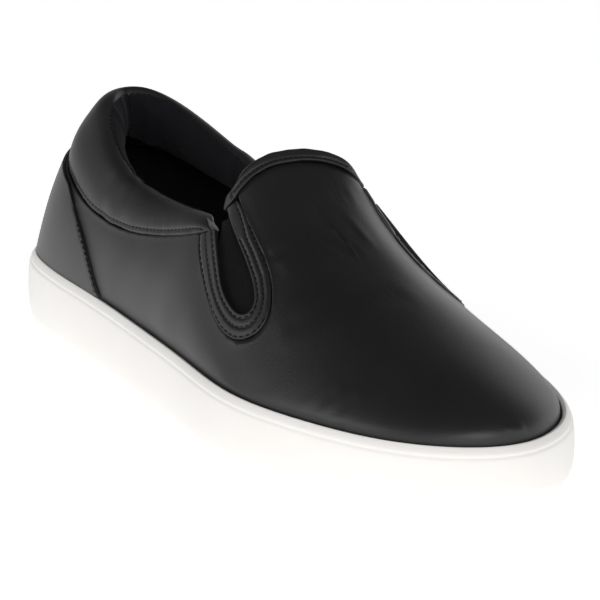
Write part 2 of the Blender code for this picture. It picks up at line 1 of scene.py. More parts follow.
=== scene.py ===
# %% [markdown]
# # Dressing a slip-on sneaker
# The shoe is already there as plain solids: a sole, an upper, a padded collar and small trims.
# This lesson gives them the looks of the real thing: soft creases, seams, stitches, elastic,
# lining, leather grain, and a quiet photo studio. We begin by loading the solids. They are our
# fixed frame: each dressed piece starts as a copy of one, so it has the right size and place.

# %% Load the plain shoe
import math

import bpy
import numpy as np
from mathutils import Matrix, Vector
from mathutils.bvhtree import BVHTree


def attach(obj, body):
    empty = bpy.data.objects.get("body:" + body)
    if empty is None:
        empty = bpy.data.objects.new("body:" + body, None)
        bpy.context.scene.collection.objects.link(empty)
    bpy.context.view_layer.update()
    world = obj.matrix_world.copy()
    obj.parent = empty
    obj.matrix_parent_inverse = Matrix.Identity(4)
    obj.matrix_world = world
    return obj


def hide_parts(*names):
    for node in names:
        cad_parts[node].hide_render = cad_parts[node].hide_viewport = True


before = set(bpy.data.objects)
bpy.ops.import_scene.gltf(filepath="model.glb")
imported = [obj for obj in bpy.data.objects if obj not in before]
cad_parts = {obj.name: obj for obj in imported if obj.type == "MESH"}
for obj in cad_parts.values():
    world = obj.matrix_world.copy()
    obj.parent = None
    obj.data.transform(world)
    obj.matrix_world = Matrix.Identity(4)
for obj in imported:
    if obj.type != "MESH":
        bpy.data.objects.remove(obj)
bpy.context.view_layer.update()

MM = 0.001
print("the plain solids:", ", ".join(sorted(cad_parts)))

# %% [markdown]
# ## A few hand tools
# Most operators act on whatever is selected, so the first tool selects one piece and nothing
# else. The second adds a modifier and applies it. The third copies a solid. Its mesh arrives as
# loose triangles, so the copy is merged, its triangles are paired back into quads, and a
# subdivision surface rounds it: a real leather edge is never sharp.

# %% Tools for pieces
SMOOTH_BEND = math.radians(70)
SHARP_BEND = math.radians(48)
SAME_POINT = 0.02 * MM


def select_only(piece):
    bpy.ops.object.select_all(action="DESELECT")
    piece.select_set(True)
    bpy.context.view_layer.objects.active = piece


def apply_modifier(piece, kind, **settings):
    select_only(piece)
    modifier = piece.modifiers.new(kind.lower(), kind)
    for name, value in settings.items():
        setattr(modifier, name, value)
    bpy.ops.object.modifier_apply(modifier=modifier.name)


def copy_solid(node, name, rounds, crispness=0.6):
    """A merged, rounded copy of one plain solid; its sharp edges stay fairly crisp."""
    select_only(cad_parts[node])
    bpy.ops.object.duplicate()
    piece = bpy.context.object
    piece.name = piece.data.name = name
    piece.parent = None
    for mark in [key for key in piece.keys() if key.startswith("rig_")]:
        del piece[mark]
    bpy.ops.mesh.customdata_custom_splitnormals_clear()
    bpy.ops.object.mode_set(mode="EDIT")
    bpy.ops.mesh.select_all(action="SELECT")
    bpy.ops.mesh.remove_doubles(threshold=SAME_POINT)
    bpy.ops.mesh.tris_convert_to_quads(face_threshold=SMOOTH_BEND, shape_threshold=SMOOTH_BEND)
    bpy.ops.mesh.select_mode(type="EDGE")
    bpy.ops.mesh.select_all(action="DESELECT")
    bpy.ops.mesh.edges_select_sharp(sharpness=SHARP_BEND)
    bpy.ops.transform.edge_crease(value=crispness)
    bpy.ops.object.mode_set(mode="OBJECT")
    apply_modifier(piece, "SUBSURF", levels=rounds, render_levels=rounds)
    bpy.ops.object.shade_smooth()
    print(name, "has", len(piece.data.polygons), "faces")
    return piece


def finish_piece(piece, slot, *nodes):
    """Hang the piece on the shoe, in place of the plain solids it stands for."""
    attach(piece, "root")
    if nodes:
        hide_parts(*nodes)
    return piece


# %% [markdown]
# Soft relief is easiest as arithmetic on the points: read them all, work out how far each one
# lies from a seam or a fold, and push it along its own normal by a small amount.

# %% Tools for relief
def points_of(piece):
    flat = np.empty(len(piece.data.vertices) * 3)
    piece.data.vertices.foreach_get("co", flat)
    return flat.reshape(-1, 3)


def normals_of(piece):
    flat = np.empty(len(piece.data.vertices) * 3)
    piece.data.vertices.foreach_get("normal", flat)
    return flat.reshape(-1, 3)


def push(piece, amount):
    """Move each point along its normal; amount is in metres, one number a point."""
    moved = points_of(piece) + normals_of(piece) * np.asarray(amount)[:, None]
    piece.data.vertices.foreach_set("co", moved.ravel())
    piece.data.update()


def surface_of(*pieces):
    """Search trees that answer where a surface is nearest."""
    return [
        BVHTree.FromPolygons(
            [v.co for v in p.data.vertices], [f.vertices for f in p.data.polygons]
        )
        for p in pieces
    ]


def reach(points, trees):
    """Distance from each point to the nearest of the surfaces."""
    return np.array([min(t.find_nearest(p)[3] for t in trees) for p in points.tolist()])


def looks_out(points, normals):
    """True where a shell's outer side is, seen from the middle of the foot."""
    middle = np.column_stack(
        [points[:, 0].clip(-0.105, 0.09), 0 * points[:, 0], 0 * points[:, 0] + 0.03]
    )
    return ((points - middle) * normals).sum(1) > 0


def dip(distance, width, depth):
    """A soft trough centred where the distance is nought."""
    return -depth * np.exp(-((distance / width) ** 2))


def nodes_named(*names):
    return [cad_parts[n] for n in names]


# %% [markdown]
# Seams and folds run along lines on the leather. A line is a few points given in millimetres,
# with a smooth curve through them, laid onto the surface.

# %% Tools for lines
def curve_through(knots, step=1.0 * MM):
    """A smooth curve through the points, walked in equal steps."""
    knots = np.asarray(knots, float)
    ends = np.vstack([2 * knots[0] - knots[1], knots, 2 * knots[-1] - knots[-2]])
    dense = []
    for i in range(1, len(ends) - 2):
        t = np.linspace(0, 1, 12, endpoint=i == len(ends) - 3)[:, None]
        a, b, c, d = ends[i - 1 : i + 3]
        dense.append(
            0.5 * (2 * b + (c - a) * t + (2 * a - 5 * b + 4 * c - d) * t**2
                   + (3 * b - a - 3 * c + d) * t**3)
        )
    return even_steps(np.vstack(dense), step)


def even_steps(line, step):
    run = np.r_[0, np.cumsum(np.linalg.norm(np.diff(line, axis=0), axis=1))]
    at = np.linspace(0, run[-1], max(2, round(run[-1] / step) + 1))
    return np.column_stack([np.interp(at, run, line[:, k]) for k in range(3)])


def lay_on(line, tree):
    """The line's points dropped onto a surface, with the surface's normals."""
    hits = [tree.find_nearest(p) for p in line.tolist()]
    return np.array([h[0] for h in hits]), np.array([h[1] for h in hits])


def level_lines(piece, values, level, where):
    """Lines on a piece along which a value is the same, as on a map."""
    mesh = piece.data
    mesh.calc_loop_triangles()
    flat = np.empty(len(mesh.loop_triangles) * 3, np.int32)
    mesh.loop_triangles.foreach_get("vertices", flat)
    triangles = flat.reshape(-1, 3)
    above = values > level
    mixed = above[triangles].any(1) & ~above[triangles].all(1) & where[triangles].all(1)
    points, joins = {}, {}
    spots = points_of(piece)
    for tri in triangles[mixed].tolist():
        cut = []
        for a, b in ((tri[0], tri[1]), (tri[1], tri[2]), (tri[2], tri[0])):
            if above[a] != above[b]:
                key = (min(a, b), max(a, b))
                t = (level - values[key[0]]) / (values[key[1]] - values[key[0]])
                points[key] = spots[key[0]] * (1 - t) + spots[key[1]] * t
                cut.append(key)
        joins.setdefault(cut[0], []).append(cut[1])
        joins.setdefault(cut[1], []).append(cut[0])
    lines, seen = [], set()
    for start in sorted(joins, key=lambda k: (len(joins[k]), k)):
        if start in seen:
            continue
        chain, here = [start], start
        seen.add(start)
        while True:
            onward = [k for k in joins[here] if k not in seen]
            if not onward:
                break
            here = onward[0]
            seen.add(here)
            chain.append(here)
        lines.append(np.array([points[k] for k in chain]))
    return [line for line in lines if len(line) > 12]


print("tools ready")

# %% [markdown]
# ## The leather upper
# A real upper is cut flat and pulled over a last, so it is smooth over the toe and shows only
# faint folds where the foot bends. Folds are soft: a shallow trough with a low swell beside it.
# Each is a line of a few points with a width and a depth. Close to the trims and
# the collar the leather is a little fuller, so that no gap opens there, and it sinks slightly
# below the throat's binding.

# %% Upper
FOLD_LINES = [
    # the fold's points in millimetres, its width and its depth
    ([(38, -20, 68), (36, -13, 70), (35, -8, 71), (34, -1, 72), (34, 8, 72)], 2.2, 0.30),
    ([(44, -20, 65), (42, -13, 67), (41, -7, 68), (40, 0, 69), (40, 9, 68)], 2.0, 0.32),
    ([(47, -10, 65), (46, -4, 66), (45, 3, 66)], 1.8, 0.20),
    ([(22, -6, 80), (21, 2, 80), (20, 8, 80), (21, 15, 79)], 2.2, 0.22),
    ([(32, -26, 66), (35, -23, 66), (37, -19, 68)], 2.0, 0.26),
    ([(62, -30, 50), (66, -20, 54), (69, -8, 56), (70, 4, 56)], 4.0, 0.20),
    ([(98, -42, 30), (100, -39, 32), (101, -35, 35)], 2.2, 0.18),
    ([(91, -45, 30), (93, -42, 33), (94, -38, 36)], 2.4, 0.15),
    ([(8, -44, 37), (12, -44, 43), (17, -43, 49)], 6.5, 0.10),
    ([(-16, -39, 34), (-12, -38, 44), (-6, -37, 55)], 7.0, 0.10),
    ([(-44, -37, 36), (-40, -37, 44), (-36, -36, 53)], 7.5, 0.10),
    ([(-16, 37, 34), (-12, 37, 44), (-6, 36, 55)], 7.0, 0.10),
    ([(-44, 35, 36), (-40, 36, 44), (-36, 36, 53)], 7.5, 0.10),
]


def folds(points, lines):
    """How far each point sinks or swells from the folds near it."""
    amount = np.zeros(len(points))
    for knots, width, depth in lines:
        line = curve_through(np.array(knots) * MM)
        middle, radius = line.mean(0), np.linalg.norm(line - line.mean(0), axis=1).max()
        near = np.linalg.norm(points - middle, axis=1) < radius + 5 * width * MM
        gap = np.linalg.norm(points[near][:, None] - line[None], axis=2).min(1)
        at = gap / (width * MM)
        amount[near] += depth * MM * (0.7 * np.exp(-((at - 1.7) ** 2)) - np.exp(-(at**2)))
    return amount


BELOW_BINDING = 1.8 * MM
FULLER_BY, FULLER_WITHIN = 0.3 * MM, 1.2 * MM
upper = copy_solid("upper", "upper_leather", 2, 0.95)
upper_points = points_of(upper)
upper_outside = looks_out(upper_points, normals_of(upper))
to_collar = reach(upper_points, surface_of(*nodes_named("padded_collar")))
to_binding = reach(upper_points, surface_of(*nodes_named("throat_binding")))
to_trim = reach(
    upper_points,
    surface_of(*nodes_named("gore_facing_lateral", "gore_facing_medial", "heel_counter")),
)
push(
    upper,
    np.where(upper_outside, 1.0, 0.0)
    * (folds(upper_points, FOLD_LINES) + dip(to_binding - BELOW_BINDING, 1.1 * MM, 0.06 * MM)),
)
to_seam = np.minimum(to_trim, to_collar)
push(upper, FULLER_BY * np.exp(-((to_seam / FULLER_WITHIN) ** 2)))
finish_piece(upper, "upper_leather", "upper")

# %% [markdown]
# ## The padded collar
# Foam under thin leather swells between its seams, and the leather puckers where the thread
# pulls it in. The roll is copied and given long slow swellings and short puckers near its foot.
# A row of stitches sits just above its lower edge, in a small trough of its own. Towards its two
# front ends the crest comes down, so that it slopes to the corner of the elastic.

# %% Collar
COLLAR_ROW = 2.3 * MM
COLLAR_TAPER = 26 * MM
END_FALL, FALL_CURVE = 0.75, 1.5
BELOW_CREST = 0.088
collar = copy_solid("padded_collar", "collar_roll", 3, 0.3)
collar_points, collar_normals = points_of(collar), normals_of(collar)
to_upper = reach(collar_points, surface_of(*nodes_named("upper")))
to_end = ((collar_points[:, 0].max() - collar_points[:, 0]) / COLLAR_TAPER).clip(0, 1)
end_foot = collar_points[to_end < 0.1, 2].min()
lowered = collar_points.copy()
lowered[:, 2] -= END_FALL * (1 - to_end) ** FALL_CURVE * (lowered[:, 2] - end_foot).clip(0)
collar.data.vertices.foreach_set("co", lowered.ravel())
collar.data.update()
collar_points, collar_normals = points_of(collar), normals_of(collar)
along = np.arctan2(collar_points[:, 1], collar_points[:, 0] + 0.06)
collar_outside = looks_out(collar_points, collar_normals) & (collar_points[:, 2] < BELOW_CREST)
puckers = (
    np.sin(along * 61 + 2 * np.sin(along * 9)) * np.sin(along * 17 + 1)
    * np.exp(-((to_upper / (5 * MM)) ** 2))
)
swell = np.sin(along * 11 + 1.3 * np.sin(along * 4.0))
push(
    collar,
    0.10 * MM * puckers + 0.16 * MM * swell
    + 0.75 * MM * np.exp(-((to_upper / (1.6 * MM)) ** 2))
    + np.where(collar_outside, dip(to_upper - COLLAR_ROW, 0.6 * MM, 0.30 * MM), 0),
)
finish_piece(collar, "collar_leather", "padded_collar")

# %% [markdown]
# The crest of the roll is the line of its highest points. The leather turns over it and ends a
# few millimetres inside, at a stitched seam, where the cloth lining starts. So the crest line
# is found first: the highest point of the roll in each narrow slice round the ankle.

# %% Crest of the collar
SLICES = 150
SEAM_INSIDE, SEAM_BELOW = 2.6 * MM, 1.6 * MM


def crest_of(points, angles):
    edges = np.linspace(angles.min(), angles.max(), SLICES + 1)
    tops = []
    for low, high in zip(edges[:-1], edges[1:]):
        inside = np.flatnonzero((angles >= low) & (angles <= high))
        if len(inside):
            tops.append(points[inside[points[inside, 2].argmax()]])
    return soften(np.array(tops), 9)


def soften(line, count):
    """Average each point with its neighbours, a few times, and keep the ends."""
    line = line.copy()
    for _ in range(count):
        line[1:-1] = (line[:-2] + 2 * line[1:-1] + line[2:]) / 4
    return line


round_ankle = np.arctan2(collar_points[:, 1], -(collar_points[:, 0] + 0.055))
crest = even_steps(crest_of(points_of(collar), round_ankle), 1.0 * MM)
collar_tree = surface_of(collar)[0]
print("the crest is", round(1000 * len(crest) * MM), "mm long")


def inward_of(line):
    """Level unit vectors from a line round the ankle towards the foot."""
    run = np.gradient(line, axis=0)
    side = np.column_stack([run[:, 1], -run[:, 0], 0 * run[:, 0]])
    side /= np.linalg.norm(side, axis=1)[:, None]
    towards = np.array([-0.055, 0.0, 0.0]) - line
    return side * np.sign((side * towards)[:, :2].sum(1).mean())


crest_inward = inward_of(crest)
seam_line, seam_normals = lay_on(
    crest + crest_inward * SEAM_INSIDE - np.array([0, 0, SEAM_BELOW]), collar_tree
)

# %% [markdown]
# ## The cloth lining
# Two thin cloth pieces hide the leather's raw side. Each starts as the inner faces of a piece
# that is already made, lifted a little towards the foot and given a thin wall. The lining hangs
# in a few upright folds at the heel, where the cloth is fuller than the leather.

# %% Lining
def inner_copy(source, name, keep, lift):
    """A thin cloth copy of the faces whose points are all kept."""
    mesh = source.data
    faces = [f for f in mesh.polygons if keep[list(f.vertices)].all()]
    used = sorted({v for f in faces for v in f.vertices})
    place = {v: i for i, v in enumerate(used)}
    cloth_mesh = bpy.data.meshes.new(name)
    cloth_mesh.from_pydata(
        [mesh.vertices[v].co for v in used], [], [[place[v] for v in f.vertices] for f in faces]
    )
    piece = bpy.data.objects.new(name, cloth_mesh)
    bpy.context.scene.collection.objects.link(piece)
    push(piece, lift(points_of(piece)))
    apply_modifier(piece, "SOLIDIFY", thickness=0.5 * MM, offset=-1.0)
    bpy.ops.object.shade_smooth()
    print(name, "has", len(piece.data.polygons), "faces")
    return piece


HEEL_FOLDS = (-0.62, -0.25, 0.05, 0.33, 0.70)
LINING_INSIDE, LINING_FROM_CREST = 1.2 * MM, 3.0 * MM


def lining_lift(points):
    angle = np.arctan2(points[:, 1], -(points[:, 0] + 0.08))
    heel = np.exp(-((angle / 0.9) ** 2))
    ridges = sum(np.exp(-(((angle - at) / 0.075) ** 2)) for at in HEEL_FOLDS)
    fine = np.sin(angle * 26 + 0.7 * np.sin(angle * 7)) * 0.12
    return (0.35 + heel * (0.9 * ridges + fine)) * MM


nearest = np.array([np.linalg.norm(crest - p, axis=1).argmin() for p in collar_points])
from_crest = points_of(collar) - crest[nearest]
inward = (from_crest * crest_inward[nearest]).sum(1)
inner_side = inward > LINING_INSIDE
inner_side &= np.linalg.norm(from_crest, axis=1) > LINING_FROM_CREST
inner_side &= collar_points[:, 0] < 8 * MM
inner_side &= (collar_normals * crest_inward[nearest]).sum(1) > -0.8
collar_lining = inner_copy(collar, "collar_lining", inner_side, lining_lift)
finish_piece(collar_lining, "footbed_fabric")
upper_inside = ~looks_out(points_of(upper), normals_of(upper))
upper_inside &= np.abs(normals_of(upper)[:, 2]) < 0.97
shoe_lining = inner_copy(
    upper, "shoe_lining", upper_inside, lambda points: np.full(len(points), 0.30 * MM)
)
finish_piece(shoe_lining, "footbed_fabric")

# %% [markdown]
# ## The heel counter
# A stiff panel laid over the back of the heel, and sewn down along its front edges with two
# rows. Its rows follow a line given just behind the edge, and are sunk a little.

# %% Heel counter
COUNTER_EDGE = [(-84, -35.4, 62), (-76, -36.8, 52), (-67, -38.4, 43.3), (-59, -39.2, 30)]
COUNTER_ROWS = (1.9, 4.1)
counter = copy_solid("heel_counter", "heel_counter_panel", 3, 0.9)
counter_tree = surface_of(counter)[0]


def counter_row(side, behind):
    """A line on the counter, a distance behind its front edge, in millimetres."""
    edge = np.array(COUNTER_EDGE) * (1, side, 1) - np.array((behind * 0.83, 0, behind * 0.5))
    return lay_on(curve_through(edge * MM), counter_tree)


counter_rows = [counter_row(side, behind) for side in (1, -1) for behind in COUNTER_ROWS]
counter_points = points_of(counter)
sink = np.zeros(len(counter_points))
for line, _ in counter_rows:
    near = (np.abs(counter_points[:, 1] - line[:, 1].mean()) < 12 * MM).nonzero()[0]
    gap = np.linalg.norm(counter_points[near][:, None] - line[None], axis=2).min(1)
    sink[near] += dip(gap, 0.6 * MM, 0.22 * MM)
push(counter, np.where(looks_out(counter_points, normals_of(counter)), sink, 0))
finish_piece(counter, "upper_leather", "heel_counter")

# %% [markdown]
# ## The bands round the elastic
# Each band is sewn in three rows. Between them the leather puffs up, so the band shows a
# groove, a ridge, a groove and a second ridge. How far a point lies across the band, from 0 at
# the upper to 1 at the elastic, says where each of them is.

# %% Bands
BAND_ROWS = (0.13, 0.50, 0.85)


def opening_wall(side):
    """The narrow wall of the plain band that faces the elastic."""
    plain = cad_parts["gore_facing_" + side].data
    gore = points_of(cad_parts["gore_" + side])
    foot, top = gore[gore[:, 2].argmin()], gore[gore[:, 2].argmax()]
    foot, top = foot * 0.6 + top * 0.4, top * 1.3 - foot * 0.3
    spots = np.array([f.center for f in plain.polygons])
    facing = np.array([f.normal for f in plain.polygons])
    share = ((spots - foot) @ (top - foot) / ((top - foot) @ (top - foot))).clip(0, 1)
    towards = foot + share[:, None] * (top - foot) - spots
    towards /= np.linalg.norm(towards, axis=1)[:, None]
    apart = reach(spots, surface_of(*nodes_named("upper"))) > 2.5 * MM
    wall = np.flatnonzero(((towards * facing).sum(1) > 0.45) & apart)
    corners = [v.co for v in plain.vertices]
    return [BVHTree.FromPolygons(corners, [plain.polygons[i].vertices for i in wall.tolist()])]


def make_band(side):
    band = copy_solid("gore_facing_" + side, "gore_band_" + side, 4)
    points, normals = points_of(band), normals_of(band)
    outer = reach(points, surface_of(*nodes_named("upper")))
    inner = reach(points, opening_wall(side))
    across = outer / (outer + inner)
    out = looks_out(points, normals)
    ridge = 0.24 * np.exp(-(((across - 0.32) / 0.13) ** 2))
    strip = 0.14 * np.exp(-(((across - 0.68) / 0.12) ** 2))
    rows = sum(-0.20 * np.exp(-(((across - row) / 0.055) ** 2)) for row in BAND_ROWS)
    push(band, np.where(out, (ridge + strip + rows) * MM, 0) + 0.28 * MM)
    print("band is", np.percentile((outer + inner)[out] / MM, [5, 50, 95]).round(1), "mm wide")
    finish_piece(band, "facing_leather", "gore_facing_" + side)
    return band, across, out


bands = {side: make_band(side) for side in ("lateral", "medial")}

# %% [markdown]
# ## The elastic
# Woven elastic has fine upright ribs. They run down the gore, so they repeat across it, and a
# finer weave crosses them.

# %% Elastic
RIB_PITCH = 1.0 * MM
elastics = []
for side in ("lateral", "medial"):
    gore = copy_solid("gore_" + side, "elastic_" + side, 4)
    points = points_of(gore)
    across = (points[:, 0] + points[:, 2]) / math.sqrt(2)
    push(gore, 0.035 * MM * np.sin(2 * math.pi * across / RIB_PITCH))
    elastics.append(finish_piece(gore, "gore_elastic", "gore_" + side))

# %% [markdown]
# ## The bound edge of the throat
# A narrow strip is folded over the top of the vamp. It is a little fuller than the plain solid,
# so that it closes on the leather below it. A row of small stitches runs in a groove along it.

# %% Bound edge
BINDING_ROW = 1.9 * MM
binding = copy_solid("throat_binding", "throat_edge", 3, 0.4)
binding_points = points_of(binding)
binding_outside = looks_out(binding_points, normals_of(binding))
to_vamp = reach(binding_points, surface_of(*nodes_named("upper")))
fuller = 0.25 * MM + 0.05 * MM * np.sin(binding_points[:, 1] * 900)
groove = dip(to_vamp - BINDING_ROW, 0.55 * MM, 0.30 * MM)
push(binding, fuller + np.where(binding_outside, groove, 0))
finish_piece(binding, "collar_leather", "throat_binding")

# %% [markdown]
# ## The footbed and the sole
# The footbed is a plain padded sheet. The sole is one moulding: a fine line runs round it just
# below the rim, where the mould's ring closed, and the rest of its side is smooth.

# %% Footbed
footbed = copy_solid("insole", "footbed", 2)
finish_piece(footbed, "footbed_fabric", "insole")

# %% Sole
RIM_ALONG = (-149 * MM, -60 * MM, 54 * MM, 149 * MM)
RIM_HEIGHTS = (29.5 * MM, 28.7 * MM, 27.2 * MM, 26.0 * MM)
sole = copy_solid("cupsole", "rubber_sole", 3, 0.45)
sole_points, sole_normals = points_of(sole), normals_of(sole)
below_rim = np.interp(sole_points[:, 0], RIM_ALONG, RIM_HEIGHTS) - sole_points[:, 2]
sole_side = (np.abs(sole_normals[:, 2]) < 0.75) & looks_out(sole_points, sole_normals)
push(sole, np.where(sole_side, dip(below_rim - 3.0 * MM, 0.45 * MM, 0.30 * MM), 0))
finish_piece(sole, "sole_rubber", "cupsole")

# %% [markdown]
# ## Stitches
# One stitch is a short rounded grain of thread. It is modelled once, and copied along each row
# with its length on the row and its back away from the leather. Rows on a band or a collar are
# lines of equal distance from a seam, as on a map, softened and laid on the dressed surface.

# %% Stitches
def model_stitch(long, wide, high):
    """The points and faces of one stitch, lying along X."""
    bpy.ops.object.select_all(action="DESELECT")
    bpy.ops.mesh.primitive_uv_sphere_add(segments=8, ring_count=5, radius=0.5)
    grain = bpy.context.object
    bpy.ops.object.mode_set(mode="EDIT")
    bpy.ops.mesh.select_all(action="SELECT")
    bpy.ops.transform.rotate(value=math.pi / 2, orient_axis="Y", center_override=(0, 0, 0))
    bpy.ops.transform.resize(value=(long, wide, high), center_override=(0, 0, 0))
    bpy.ops.object.mode_set(mode="OBJECT")
    points = points_of(grain)
    faces = [list(f.vertices) for f in grain.data.polygons]
    bpy.data.objects.remove(grain)
    return points, faces


def sew(name, rows, pitch=2.5, long=1.9, wide=0.55, high=0.42, sunk=0.04):
    """All the stitches of some rows as one piece. A row is a line and its normals."""
    grain, grain_faces = model_stitch(long * MM, wide * MM, high * MM)
    points, faces = [], []
    for line, normals in rows:
        spots = even_steps(line, pitch * MM)
        runs = np.gradient(spots, axis=0)
        for spot, run in zip(spots[1:-1], runs[1:-1]):
            up = normals[np.linalg.norm(line - spot, axis=1).argmin()]
            run = run - up * (run @ up)
            run /= np.linalg.norm(run)
            side = np.cross(up, run)
            turned = grain[:, :1] * run + grain[:, 1:2] * side + grain[:, 2:] * up
            first = len(points) * len(grain)
            points.append(turned + spot - up * sunk * MM)
            faces += [[first + v for v in face] for face in grain_faces]
    mesh = bpy.data.meshes.new(name)
    mesh.from_pydata(np.vstack(points).tolist(), [], faces)
    piece = bpy.data.objects.new(name, mesh)
    bpy.context.scene.collection.objects.link(piece)
    select_only(piece)
    bpy.ops.object.shade_smooth()
    print(name, "has", len(points), "stitches")
    return piece


def mapped_rows(piece, values, level, where, least=25):
    tree = surface_of(piece)[0]
    rows = []
    for line in level_lines(piece, values, level, where):
        line = even_steps(line, 0.8 * MM)
        if len(line) > least:
            rows.append(lay_on(soften(line, 12), tree))
    return rows


# pitch, length and width in millimetres of the stitches in each row of a band
BAND_THREADS = ((2.6, 2.0, 0.6), (2.0, 1.6, 0.4), (2.4, 1.8, 0.55))
collar_rows = mapped_rows(collar, to_upper, COLLAR_ROW, collar_outside)
throat_rows = mapped_rows(binding, to_vamp, BINDING_ROW, binding_outside)
sunk_counter = surface_of(counter)[0]
threads = [
    sew("collar_stitches", collar_rows),
    sew("throat_stitches", throat_rows, pitch=2.2, long=1.6, wide=0.4),
    sew("crest_stitches", [(seam_line, seam_normals)], pitch=2.3, long=1.7),
    sew("counter_stitches", [lay_on(line, sunk_counter) for line, _ in counter_rows]),
]
for side, (band, across, out) in bands.items():
    for row, (pitch, long, wide) in zip(BAND_ROWS, BAND_THREADS):
        sewn = mapped_rows(band, across, row, out)
        threads.append(sew(f"band_stitches_{side}_{100 * row:.0f}", sewn, pitch, long, wide))
for thread in threads:
    finish_piece(thread, "upper_leather")

# %% [markdown]
# ## Finishes
# A finish is a small network of nodes. The first tool adds a node and fills its inputs: a value
# is typed in, and the output of another node is linked.

# %% Tools for finishes
def add_node(tree, kind, settings=None, **inputs):
    node = tree.nodes.new("ShaderNode" + kind)
    for name, value in (settings or {}).items():
        setattr(node, name, value)
    for name, value in inputs.items():
        key = int(name[1:]) if name[0] == "_" else name.replace("_", " ")
        socket = node.inputs[key]
        if isinstance(value, bpy.types.NodeSocket):
            tree.links.new(value, socket)
        else:
            socket.default_value = value
    return node


def new_group(name, inputs, outputs):
    group = bpy.data.node_groups.new(name, "ShaderNodeTree")
    for label, kind, value in inputs:
        socket = group.interface.new_socket(name=label, in_out="INPUT", socket_type=kind)
        if value is not None:
            socket.default_value = value
    for label, kind in outputs:
        group.interface.new_socket(name=label, in_out="OUTPUT", socket_type=kind)
    return group, group.nodes.new("NodeGroupInput"), group.nodes.new("NodeGroupOutput")


def new_material(name, **sockets):
    material = bpy.data.materials.new(name)
    material.use_nodes = True
    tree = material.node_tree
    shader = tree.nodes["Principled BSDF"]
    for label, value in sockets.items():
        shader.inputs[label.replace("_", " ")].default_value = value
    return material, tree, shader


def wear(piece, material):
    piece.data.materials.clear()
    piece.data.materials.append(material)


# %% Leather
FLOAT, VECTOR = "NodeSocketFloat", "NodeSocketVector"


def make_grain_group():
    """Fine pebbled skin: small cells with soft walls, and a slow unevenness."""
    group, source, result = new_group(
        "leather grain",
        [("Place", VECTOR, None), ("Cells", FLOAT, 1700.0), ("Slow", FLOAT, 60.0)],
        [("Height", FLOAT), ("Patches", FLOAT)],
    )
    place = source.outputs["Place"]
    bent = add_node(group, "TexNoise", Vector=place, Scale=300.0, Detail=2.0)
    moved = add_node(
        group, "VectorMath", {"operation": "SCALE"}, _0=bent.outputs["Color"], Scale=0.0006
    )
    spot = add_node(group, "VectorMath", {"operation": "ADD"}, _0=place, _1=moved.outputs[0])
    cells = add_node(
        group, "TexVoronoi", {"feature": "SMOOTH_F1"},
        Vector=spot.outputs[0], Scale=source.outputs["Cells"], Smoothness=0.4,
    )
    creases = add_node(
        group, "TexNoise", Vector=place, Scale=source.outputs["Slow"], Detail=6.0, Roughness=0.62
    )
    mixed = add_node(
        group, "Math", {"operation": "MULTIPLY_ADD"},
        _0=creases.outputs[0], _1=0.7, _2=cells.outputs["Distance"],
    )
    group.links.new(mixed.outputs[0], result.inputs["Height"])
    patches = add_node(group, "TexNoise", Vector=place, Scale=22.0, Detail=3.0)
    group.links.new(patches.outputs[0], result.inputs["Patches"])
    return group


GRAIN = make_grain_group()


def make_leather(name, dark, light, rough, depth):
    material, tree, shader = new_material(
        name, Specular_IOR_Level=0.50, Coat_Weight=0.08, Coat_Roughness=0.30, Coat_IOR=1.45
    )
    place = add_node(tree, "TexCoord").outputs["Object"]
    grain = tree.nodes.new("ShaderNodeGroup")
    grain.node_tree = GRAIN
    tree.links.new(place, grain.inputs["Place"])
    tone = add_node(tree, "MapRange", Value=grain.outputs["Patches"], From_Min=0.35, From_Max=0.65)
    colour = add_node(tree, "Mix", {"data_type": "RGBA"})
    tree.links.new(tone.outputs[0], colour.inputs[0])
    colour.inputs[6].default_value, colour.inputs[7].default_value = dark, light
    tree.links.new(colour.outputs[2], shader.inputs["Base Color"])
    shine = add_node(
        tree, "MapRange", Value=grain.outputs["Patches"], From_Min=0.3, From_Max=0.7,
        To_Min=rough - 0.04, To_Max=rough + 0.04,
    )
    tree.links.new(shine.outputs[0], shader.inputs["Roughness"])
    bump = add_node(tree, "Bump", Height=grain.outputs["Height"], Strength=depth, Distance=0.00012)
    tree.links.new(bump.outputs[0], shader.inputs["Normal"])
    return material


leather = make_leather(
    "black leather", (0.0050, 0.0051, 0.0054, 1), (0.0075, 0.0076, 0.0080, 1), 0.44, 0.30
)
soft_leather = make_leather(
    "soft black leather", (0.0055, 0.0056, 0.0060, 1), (0.0085, 0.0086, 0.0090, 1), 0.47, 0.30
)
for piece in (upper, counter):
    wear(piece, leather)
for piece in (collar, binding, bands["lateral"][0], bands["medial"][0]):
    wear(piece, soft_leather)

# %% [markdown]
# Rubber is nearly plain: a warm white with the faintest mottling and a fine moulded skin. Its
# underside has a shallow herringbone tread, two sets of slanting waves that take turns, and it
# shows only where the surface looks down.

# %% Rubber
rubber, tree, shader = new_material("white rubber", Specular_IOR_Level=0.4)
place = add_node(tree, "TexCoord").outputs["Object"]
mottle = add_node(tree, "TexNoise", Vector=place, Scale=45.0, Detail=4.0)
tint = add_node(tree, "Mix", {"data_type": "RGBA"}, _0=mottle.outputs[0])
tint.inputs[6].default_value = (0.86, 0.835, 0.805, 1)
tint.inputs[7].default_value = (0.90, 0.880, 0.855, 1)
tree.links.new(tint.outputs[2], shader.inputs["Base Color"])
satin = add_node(tree, "MapRange", Value=mottle.outputs[0], To_Min=0.46, To_Max=0.60)
tree.links.new(satin.outputs[0], shader.inputs["Roughness"])
parts = add_node(tree, "SeparateXYZ", _0=place)
lanes = add_node(tree, "Math", {"operation": "PINGPONG"}, _0=parts.outputs["Y"], _1=0.007)
slant = add_node(tree, "Math", {"operation": "ADD"}, _0=parts.outputs["X"], _1=lanes.outputs[0])
